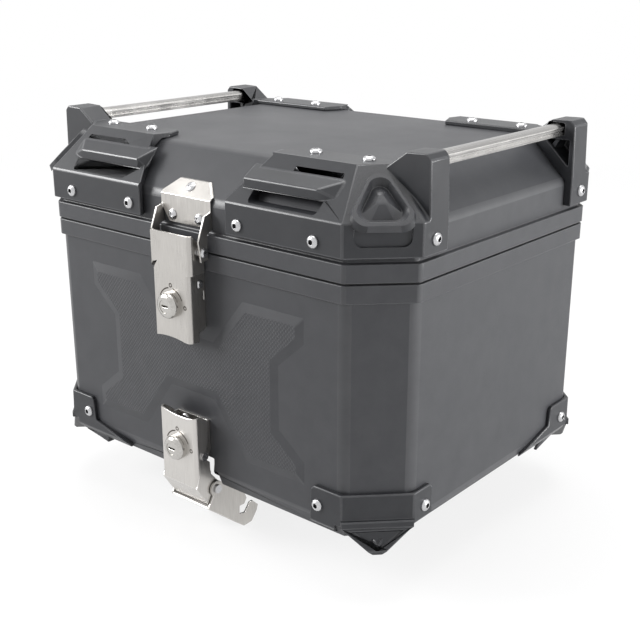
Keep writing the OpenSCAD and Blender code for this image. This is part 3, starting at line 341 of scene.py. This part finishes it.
def dial_marks(nodes, links, lock_z):
    split = nodes.new("ShaderNodeSeparateXYZ")
    links.new(coords(nodes, links, shift=(0, 0, -lock_z)), split.inputs["Vector"])
    x, y, z = split.outputs
    ring = near(nodes, links, length_of(nodes, links, x, z), 14.6 * mm, 0.55 * mm)
    angle = maths(nodes, links, "ARCTAN2", z, x)
    marks = []
    for middle in (0.90, 2.24):
        marks.append(maths(nodes, links, "MULTIPLY", ring, near(nodes, links, angle, middle, 0.50)))
    for cx, cz in ((0, 17 * mm), (17 * mm, 0)):
        dx = maths(nodes, links, "SUBTRACT", x, cx)
        dz = maths(nodes, links, "SUBTRACT", z, cz)
        marks.append(near(nodes, links, length_of(nodes, links, dx, dz), 1.5 * mm, 0.5 * mm))
    mask = marks[0]
    for m in marks[1:]:
        mask = maths(nodes, links, "MAXIMUM", mask, m)
    on_front = maths(nodes, links, "LESS_THAN", y, -189.5 * mm)
    return maths(nodes, links, "MULTIPLY", mask, on_front)


print("dial marks: two arcs and two rings for each lock")

# %% [markdown]
# ## Brushed stainless sheet and plated parts
# Latch, release, hasp and hinges are folded from brushed sheet. Brushing leaves hair lines along one
# direction, so the noise is squeezed across that direction and stretched along it. The same lines vary tint,
# gloss and relief together, because on the real sheet they are one scratch.

# %% Brushed and plated metal
def brushed(name, dark, light, rough, streak, lock_z=None):
    mat, nodes, links, shader = new_finish(name, dark, rough, 1.0)
    along = coords(nodes, links, scale=streak)
    hair = noise(nodes, links, along, 1.0, 3.0, 0.6)
    cloud = noise(nodes, links, coords(nodes, links), 40.0, 3.0)
    colour = tint(nodes, links, spread(nodes, links, hair, 0.0, 1.0), dark, light)
    level = maths(nodes, links, "ADD", spread(nodes, links, hair, rough - 0.08, rough + 0.08),
                  spread(nodes, links, cloud, -0.05, 0.05))
    height = hair
    if lock_z is not None:
        mask = dial_marks(nodes, links, lock_z)
        mark = nodes.new("ShaderNodeMix")
        mark.data_type = "RGBA"
        mark.inputs["B"].default_value = (0.055, 0.045, 0.036, 1)
        links.new(mask, mark.inputs["Factor"])
        links.new(colour, mark.inputs["A"])
        colour = mark.outputs["Result"]
        height = maths(nodes, links, "SUBTRACT", hair, maths(nodes, links, "MULTIPLY", mask, 2.0))
    links.new(colour, shader.inputs["Base Color"])
    links.new(level, shader.inputs["Roughness"])
    relief(nodes, links, shader, height, 0.12, 0.06 * mm)
    return mat


tall = (2600, 2600, 60)
steel_latch = brushed("steel_latch", (0.43, 0.413, 0.392), (0.54, 0.522, 0.498), 0.34, tall, 0.1735)
# The release cover is the same brushed sheet as the latch cover, tinted lighter: painted light.
steel_release_lit = brushed("steel_release_lit", (0.52, 0.502, 0.480), (0.62, 0.602, 0.578), 0.34, tall, 0.041)
steel_sheet = brushed("steel_sheet", (0.42, 0.404, 0.384), (0.53, 0.513, 0.490), 0.36, tall)
# Edge strips of the sheet: smoother, and tinted lighter as a painted highlight.
steel_edge_highlight = brushed("steel_edge_highlight", (0.62, 0.605, 0.585), (0.74, 0.725, 0.705), 0.24, tall)
rail_satin = brushed("rail_satin", (0.35, 0.343, 0.334), (0.38, 0.373, 0.364), 0.26, (900, 12, 900))
lock_plate = brushed("lock_plate", (0.45, 0.437, 0.415), (0.53, 0.517, 0.495), 0.20, (700, 700, 700))
zinc = brushed("zinc", (0.48, 0.48, 0.49), (0.58, 0.58, 0.59), 0.27, (900, 900, 900))
# Socket walls: a dark finish that is painted shade.
socket_shade = brushed("socket_shade", (0.05, 0.05, 0.052), (0.09, 0.09, 0.092), 0.5, (900, 900, 900))
print("finishes:", len(bpy.data.materials))

# %% [markdown]
# ## The tub
# The tub is an eight-sided moulding, open at the top. Its upright corners have a wide soft radius and its rim
# a small one, so each edge gets a share of one bevel. The pad on the lock face is a separate texture in the
# mould, so its raised face gets the hatched finish. Its slopes are shallow, so the shading stays crisp there.

# %% Round the tub
def shell_share(angle, a, b, length):
    if angle < 14 or length < 3 * mm:
        return 0
    d = (b - a) / length
    if abs(d.z) > 0.95 and length > 60 * mm:
        return 1.0
    if length < 16 * mm and abs(d.z) > 0.95:
        return 0.45
    if angle < 40 and length > 20 * mm:
        return 0.30
    return 0.16


pad_front_y, pad_top_z = -170.5 * mm, 190 * mm
tub = welded_copy("tub_shell", "case_tub")
# The rounded strips take the painted highlight finish.
dress(tub, case_grain, case_edge_highlight, pad_hatch)
for p in tub.data.polygons:
    on_pad = p.center.y < pad_front_y and p.normal.y < -0.9 and p.center.z < pad_top_z
    p.material_index = 2 if on_pad else 0
round_edges(tub, shell_share, 6 * mm, segments=6, crease=11)
seat(tub, "tub_shell")

# %% [markdown]
# ## The lid
# The lid has the same plan as the tub, with slopes all round up to a flat top. On the real one the slopes run
# into the top with a generous radius. A bevel on those edges alone gives it, and the rim stays tight.

# %% Round the lid
slope_foot_z = 255 * mm
lid = welded_copy("lid_shell", "case_lid")
# The rounded strips take the painted highlight finish.
dress(lid, case_grain, case_edge_highlight)


def lid_share(angle, a, b, length):
    if angle < 14 or length < 3 * mm:
        return 0
    d = (b - a) / length
    if abs(d.z) > 0.95:
        return 0.5 if length < 40 * mm else 0.8
    if min(a.z, b.z) > slope_foot_z:
        return 0.9
    return 0.16


round_edges(lid, lid_share, 5 * mm)
seat(lid, "lid_shell")

# %% [markdown]
# ## Corner guards, bumpers and the plate under the case
# Guards and bumpers are thicker mouldings that take the knocks. Their edges are crisp, so the radius is small
# and even, and the rounded strips are tinted lighter as a painted highlight. The three-sided boss on each
# guard is polished in the mould, so its faces get a glossier finish, tinted lighter too as a painted
# highlight.

# %% Round the guards, bumpers and plate
def guard_share(angle, a, b, length):
    if angle < 18 or length < 4 * mm:
        return 0
    return 1.0 if length > 9 * mm else 0.5


boss_middle = Vector((186.1, -143.6, 280.8)) * mm
boss_reach, largest_boss_face = 26 * mm, 900 * mm * mm


def off_boss(place):
    return (Vector((abs(place.x), -abs(place.y), place.z)) - boss_middle).length


def guard_share_off_boss(angle, a, b, length):
    """The boss on the corner has its own tight radius, so its edges keep out of the wide one."""
    if off_boss((a + b) / 2) < boss_reach + 1 * mm:
        return 0.3 if angle > 30 and length > 2 * mm else 0
    return guard_share(angle, a, b, length)


for place in ("front_left", "front_right", "rear_left", "rear_right"):
    for kind in ("guard", "bumper"):
        piece = welded_copy(f"{kind}_{place}", f"case_{kind}_{place}")
        # Rounded strips and boss faces take the lighter finishes, which are painted highlights.
        dress(piece, guard_grain, guard_edge_highlight, guard_gloss_and_highlight)
        for p in piece.data.polygons:
            on_boss = off_boss(p.center) < boss_reach and p.area < largest_boss_face
            p.material_index = 2 if on_boss else 0
        round_edges(piece, guard_share_off_boss, 1.3 * mm, crease=24)
        seat(piece, f"{kind}_{place}")

plate = welded_copy("docking_plate", "case_docking_plate")
# The plate's rounded strips take the guards' painted highlight.
dress(plate, dock_grain, guard_edge_highlight)
round_edges(plate, guard_share, 0.8 * mm)
seat(plate, "docking_plate")

# %% [markdown]
# ## Folded sheet and rails
# Latch and release covers, hasp, brackets and hinge leaves are cut and folded from sheet just under 2 mm
# thick, and the rails are extruded bars. Cut edges are deburred, which leaves them a little smoother. A bevel
# of 0.3 to 0.4 mm gets its own smoother finish, tinted lighter as well, so it draws a painted highlight.

# %% Break the edges of the sheet pieces
def sheet_share(angle, a, b, length):
    return 1.0 if angle > 30 and length > 1.2 * mm else 0


for node, finish, width in (
    ("latch_cover", steel_latch, 0.3), ("release_cover", steel_release_lit, 0.3),
    ("latch_hasp", steel_sheet, 0.35), ("release_hook", steel_sheet, 0.35),
    ("latch_base", steel_sheet, 0.3), ("release_base", steel_sheet, 0.3),
    ("rail_left", rail_satin, 0.4), ("rail_right", rail_satin, 0.4),
    ("hinge_tub_leaves", steel_sheet, 0.3), ("hinge_lid_leaves", steel_sheet, 0.3),
):
    piece = welded_copy(node, "case_" + node)
    # The rounded strips take the painted highlight finish.
    dress(piece, finish, steel_edge_highlight)
    round_edges(piece, sheet_share, width * mm, 2)
    seat(piece, node)

# %% [markdown]
# ## Where the fasteners sit
# A node of screws holds many separate solids. Splitting a copy of it by loose parts gives each one's points,
# and from them its axis, the seat of its head and the length of its shank. So a modelled screw lands exactly
# where the measured one is.

# %% Find each fastener of a node
def loose_parts(node):
    welded_copy(node, "probe")
    bpy.ops.object.mode_set(mode="EDIT")
    bpy.ops.mesh.select_all(action="SELECT")
    bpy.ops.mesh.separate(type="LOOSE")
    bpy.ops.object.mode_set(mode="OBJECT")
    found = list(bpy.context.selected_objects)
    points = [[v.co.copy() for v in ob.data.vertices] for ob in found]
    for ob in found:
        bpy.data.objects.remove(ob)
    return points


def long_side_out(points):
    """Outward direction of a fastener that is longer than it is wide."""
    low = Vector([min(p[i] for p in points) for i in range(3)])
    high = Vector([max(p[i] for p in points) for i in range(3)])
    axis = max(range(3), key=lambda i: high[i] - low[i])
    out = Vector((0, 0, 0))
    out[axis] = 1.0 if low[axis] + high[axis] > 0 else -1.0
    return out


def head_seat(points, out, head_h):
    """Middle of the head's underside and the length behind it."""
    along = [p.dot(out) for p in points]
    middle = sum(points, Vector()) / len(points)
    rest = max(along) - head_h
    return middle + out * (rest - middle.dot(out)), rest - min(along)


for node in ("guard_screws", "bumper_screws", "docking_screws"):
    print(node, "solids:", len(loose_parts(node)))

# %% [markdown]
# ## Shaping by hand
# A small turned part grows from one disc: faces are picked by the way they look, extruded, narrowed and
# inset. A spin of a drawn profile would also do, but with extrusions each step shows what it adds.

# %% Pick faces, extrude, cut and soften
def select_faces(piece, rule):
    if bpy.context.object and bpy.context.object.mode == "EDIT":
        bpy.ops.object.mode_set(mode="OBJECT")
    pick(piece)
    bpy.ops.object.mode_set(mode="EDIT")
    bpy.ops.mesh.select_mode(type="FACE")
    bpy.ops.mesh.select_all(action="DESELECT")
    bpy.ops.object.mode_set(mode="OBJECT")
    for p in piece.data.polygons:
        p.select = rule(p)
    bpy.ops.object.mode_set(mode="EDIT")


def extrude_up(rise, narrow=1.0):
    bpy.ops.mesh.extrude_region_move(TRANSFORM_OT_translate={"value": (0, 0, rise)})
    bpy.ops.transform.resize(value=(narrow, narrow, 1))


def cut_with(piece, cutter):
    m = piece.modifiers.new("cut", "BOOLEAN")
    m.operation = "DIFFERENCE"
    m.solver = "EXACT"
    m.object = cutter
    apply_all(piece)
    bpy.data.objects.remove(cutter)


def soften(piece, width, angle=40):
    b = piece.modifiers.new("soft_edges", "BEVEL")
    b.width = width
    b.segments = 2
    b.limit_method = "ANGLE"
    b.angle_limit = math.radians(angle)
    smooth(piece, 32)
    return apply_all(piece)


print("shaping helpers: select_faces, extrude_up, cut_with, soften")

# %% [markdown]
# ## One model, many places
# Identical fasteners are modelled once for each length and copied to every place, each copy with its own
# mesh. The copies of one node are then joined, so that they stay one piece as in the measured model.

# %% Copy a model to every place of a node
def place_copies(node, model_for, out_for, head_h, name):
    copies = []
    for points in loose_parts(node):
        out = out_for(points)
        place, length = head_seat(points, out, head_h)
        model = model_for(round(length, 5))
        copy = model.copy()
        copy.data = model.data.copy()
        bpy.context.scene.collection.objects.link(copy)
        turned = out.to_track_quat("Z", "Y").to_matrix().to_4x4()
        copy.matrix_world = Matrix.Translation(place) @ turned
        copies.append(settle(copy))
    pick(copies[0])
    for copy in copies:
        copy.select_set(True)
    if len(copies) > 1:
        bpy.ops.object.join()
    piece = copies[0]
    piece.name = name
    seat(piece, node)
    print(name, "copies:", len(copies))
    return piece


def once_per_length(make):
    """Models one fastener for each shank length that is asked for."""
    made = {}

    def model_for(length):
        if length not in made:
            made[length] = make(length)
        return made[length]

    return model_for, made


# %% [markdown]
# ## Button-head screws
# The guards and bumpers are held by low button-head screws with a hex socket. A disc is extruded upwards and
# narrowed step by step into the dome, its underside is inset and extruded into the shank, and a six-sided
# bar is cut out of the top. The walls of the socket get a dark finish, painted shade for the shade in them.

# %% Model the screw and copy it
head_h, head_r, shank_r, socket_r = 3.2 * mm, 5.25 * mm, 3.0 * mm, 2.25 * mm


def button_screw(length):
    bpy.ops.object.select_all(action="DESELECT")
    disc_h = head_h * 0.3
    bpy.ops.mesh.primitive_cylinder_add(vertices=40, radius=head_r, depth=disc_h, location=(0, 0, disc_h / 2))
    screw = settle(bpy.context.object)
    select_faces(screw, lambda p: p.normal.z > 0.9)
    for rise, narrow in ((0.26, 0.93), (0.22, 0.84), (0.16, 0.76), (0.06, 0.80)):
        extrude_up(rise * head_h, narrow)
    select_faces(screw, lambda p: p.normal.z < -0.9)
    bpy.ops.mesh.inset(thickness=head_r - shank_r)
    extrude_up(0.6 * mm - length)
    extrude_up(-0.6 * mm, 0.82)
    bpy.ops.object.mode_set(mode="OBJECT")
    bpy.ops.object.select_all(action="DESELECT")
    deep = (0, 0, head_h * 0.9)
    bpy.ops.mesh.primitive_cylinder_add(vertices=6, radius=socket_r, depth=head_h, location=deep)
    cut_with(screw, settle(bpy.context.object))
    dress(screw, zinc, socket_shade)
    # Faces deep inside the socket take the painted shade.
    for p in screw.data.polygons:
        sunk = 0.3 * head_h < p.center.z < 0.97 * head_h
        p.material_index = 1 if sunk and p.center.xy.length < 0.98 * socket_r else 0
    return soften(screw, 0.14 * mm)


screw_for, screw_models = once_per_length(button_screw)
place_copies("guard_screws", screw_for, long_side_out, head_h, "case_guard_screws")
place_copies("bumper_screws", screw_for, long_side_out, head_h, "case_bumper_screws")
place_copies("docking_screws", screw_for, lambda points: Vector((0, 0, 1)), head_h, "case_docking_screws")
for model in screw_models.values():
    bpy.data.objects.remove(model)

# %% [markdown]
# ## Blind rivets
# Hasp, brackets and hinge leaves are held by blind rivets. Their domed heads show the end of the pulled
# mandrel as a small sunk dot, so the top of the dome is inset and pushed in before the edges are softened.

# %% Model the rivet and copy it
dome_h, dome_r, rivet_r, tail_r, tail_h = 2.0 * mm, 4.75 * mm, 2.5 * mm, 4.0 * mm, 1.5 * mm


def blind_rivet(length):
    bpy.ops.object.select_all(action="DESELECT")
    disc_h = dome_h * 0.3
    bpy.ops.mesh.primitive_cylinder_add(vertices=40, radius=dome_r, depth=disc_h, location=(0, 0, disc_h / 2))
    rivet = settle(bpy.context.object)
    select_faces(rivet, lambda p: p.normal.z > 0.9)
    for rise, narrow in ((0.30, 0.90), (0.24, 0.78), (0.14, 0.66)):
        extrude_up(rise * dome_h, narrow)
    bpy.ops.mesh.inset(thickness=0.5 * mm)
    extrude_up(-0.9 * mm, 0.92)
    bpy.ops.mesh.inset(thickness=0.3 * mm)
    extrude_up(0.45 * mm, 0.9)
    select_faces(rivet, lambda p: p.normal.z < -0.9)
    bpy.ops.mesh.inset(thickness=dome_r - rivet_r)
    extrude_up(tail_h - length)
    extrude_up(-0.05 * mm, tail_r / rivet_r)
    extrude_up(0.05 * mm - tail_h)
    bpy.ops.object.mode_set(mode="OBJECT")
    dress(rivet, zinc)
    return soften(rivet, 0.12 * mm)


hasp_fold_z = 258 * mm
hasp_slope_out = Vector((0, -0.7025, 0.7117))


def rivet_out(points):
    middle = sum(points, Vector()) / len(points)
    if middle.y > 0:
        return Vector((0, 1, 0))
    return hasp_slope_out if middle.z > hasp_fold_z else Vector((0, -1, 0))


rivet_for, rivet_models = once_per_length(blind_rivet)
for node in ("hasp_rivets", "latch_base_rivets", "release_base_rivets", "hinge_tub_rivets",
             "hinge_lid_rivets"):
    place_copies(node, rivet_for, rivet_out, dome_h, "case_" + node)
for model in rivet_models.values():
    bpy.data.objects.remove(model)

# %% [markdown]
# ## Locks
# Each lock is a bright barrel with a turning plug. Barrel and plug keep their measured form, because the plug
# turns in the barrel with a running fit, and only their edges are broken so that they draw a line of light.

# %% Break the edges of the lock parts
for lock in ("latch", "release"):
    for part, width in (("lock_barrel", 0.5), ("lock_plug", 0.25)):
        piece = welded_copy(f"{lock}_{part}", f"case_{lock}_{part}")
        dress(piece, lock_plate, lock_plate)
        round_edges(piece, sheet_share, width * mm, 2)
        seat(piece, f"{lock}_{part}")

# %% [markdown]
# ## Pieces that keep their measured shape
# Nuts, pins, cams and the seal are right as they are. They only get a finish.

# %% Dress the small solids
kept_solids = [node for node, ob in frame["nodes"].items() if not ob.hide_render]
for node in kept_solids:
    dress(frame["nodes"][node], seal_rubber if node == "lid_seal" else zinc)
print("kept as measured:", ", ".join(kept_solids))

# %% [markdown]
# ## Floor and surroundings
# The case stands on a pale floor in a white room. More light on the floor would make it white, but would also
# bleach the case. So the camera and mirroring metal see the floor mostly as a glow, while the light that
# falls on the case comes from a plain floor. Near the case a fifth of it stays plain and keeps the shadow.

# %% Floor and surroundings
def seen_directly(nodes, links):
    """1 for rays from the camera and for mirror or glass rays, 0 for light that falls on the object."""
    path = nodes.new("ShaderNodeLightPath")
    clear = maths(nodes, links, "MAXIMUM", path.outputs["Is Glossy Ray"], path.outputs["Is Transmission Ray"])
    return maths(nodes, links, "MAXIMUM", path.outputs["Is Camera Ray"], clear)


bpy.ops.object.select_all(action="DESELECT")
floor_gap = 0.5 * mm
bpy.ops.mesh.primitive_plane_add(size=30, location=(0, 0, cad_box[0].z - floor_gap))
floor = bpy.context.object
floor.name = "pale_floor"
pale, nodes, links, shader = new_finish("pale_floor", (0.9, 0.9, 0.9), 0.8)
glow = nodes.new("ShaderNodeEmission")
blend = nodes.new("ShaderNodeMixShader")
away = nodes.new("ShaderNodeVectorMath")
away.operation = "LENGTH"
links.new(coords(nodes, links), away.inputs[0])
paler = spread(nodes, links, away.outputs["Value"], 0.80, 1.0, 0.5, 2.0)
links.new(maths(nodes, links, "MULTIPLY", seen_directly(nodes, links), paler), blend.inputs["Fac"])
links.new(shader.outputs["BSDF"], blend.inputs[1])
links.new(glow.outputs["Emission"], blend.inputs[2])
links.new(blend.outputs["Shader"], nodes["Material Output"].inputs["Surface"])
dress(floor, pale)

world = bpy.data.worlds.new("studio")
bpy.context.scene.world = world
world.use_nodes = True
wn, wl = world.node_tree.nodes, world.node_tree.links
wl.new(spread(wn, wl, seen_directly(wn, wl), 0.30, 1.0, 0.0, 1.0), wn["Background"].inputs["Strength"])
wn["Background"].inputs["Color"].default_value = (1, 1, 1, 1)
print("floor at", round(floor.location.z, 4))

# %% [markdown]
# ## Lights and camera
# Three large soft lamps light the case: one from the left, a weaker one from the right and one overhead.
# Large lamps give soft shadows and long, calm highlights on dark plastic. The camera stands where the
# photograph was taken, which the outline of the case gives.

# %% Lights and camera
def softbox(name, place, aim, size, power):
    bpy.ops.object.light_add(type="AREA", location=place)
    lamp = bpy.context.object
    lamp.name = name
    lamp.data.shape = "RECTANGLE"
    lamp.data.size, lamp.data.size_y = size
    lamp.data.energy = power
    lamp.rotation_euler = (Vector(aim) - Vector(place)).to_track_quat("-Z", "Y").to_euler()
    return lamp


softbox("key_left", (-1.9, -1.5, 1.2), (0, 0, 0.15), (1.2, 1.2), 80)
softbox("fill_right", (2.1, 0.8, 0.5), (0, 0, 0.10), (1.2, 0.7), 60)
softbox("top", (-0.2, 0.3, 2.2), (0, 0, 0), (1.8, 1.8), 45)

camera = bpy.data.objects.new("camera", bpy.data.cameras.new("camera"))
bpy.context.scene.collection.objects.link(camera)
camera.data.sensor_width = 36
camera.data.lens = 59.16
right, up, back = (0.7640, 0.6452, 0), (-0.2075, 0.2457, 0.9469), (0.6109, -0.7234, 0.3216)
turned = Matrix((right, up, back)).transposed().to_4x4()
camera.matrix_world = Matrix.Translation((0.6460, -0.7588, 0.4487)) @ turned
bpy.context.scene.camera = camera
bpy.context.scene.view_settings.view_transform = "Standard"
print("camera at", [round(v, 3) for v in camera.location], "lens", round(camera.data.lens, 2))
